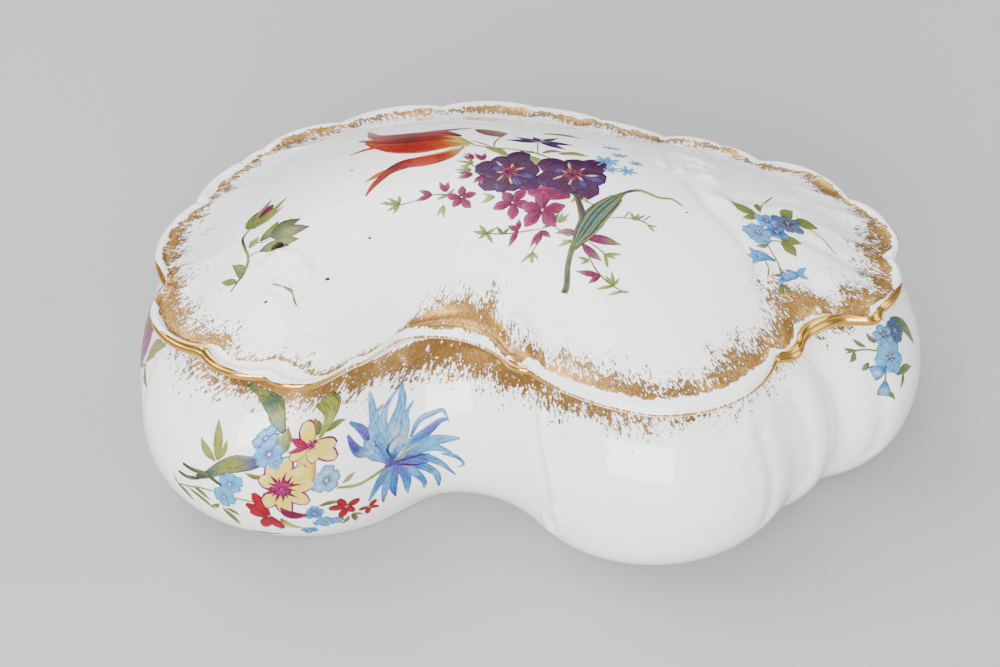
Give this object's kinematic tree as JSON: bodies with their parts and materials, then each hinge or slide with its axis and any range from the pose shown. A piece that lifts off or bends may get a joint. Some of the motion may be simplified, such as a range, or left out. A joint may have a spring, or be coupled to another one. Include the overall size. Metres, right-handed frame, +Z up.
{
  "type": "porcelain trinket box",
  "caption": "Kidney-shaped porcelain trinket box: a bulging hollow base on a ground foot and a loose domed lid with a scalloped edge and a locating flange.",
  "frame": {"origin": "on the table under the middle of the box's bounding box", "axes": "+X along the box's length, towards its right end seen from the front; +Y to the back, away from the bay in the front side; +Z up"},
  "size_m": [0.1978, 0.1456, 0.0751],
  "materials": {
    "glazed_porcelain": "clear gloss glaze over white porcelain, with enamel painting and sponged gold"
  },
  "bodies": {
    "base": {"base": "glazed_porcelain"},
    "lid": {"lid": "glazed_porcelain"}
  },
  "joints": [
    {"name": "lid_lift", "type": "slide", "parent": "base", "child": "lid", "axis": [0, 0, 1], "range_m": [0, 0.08]}
  ]
}
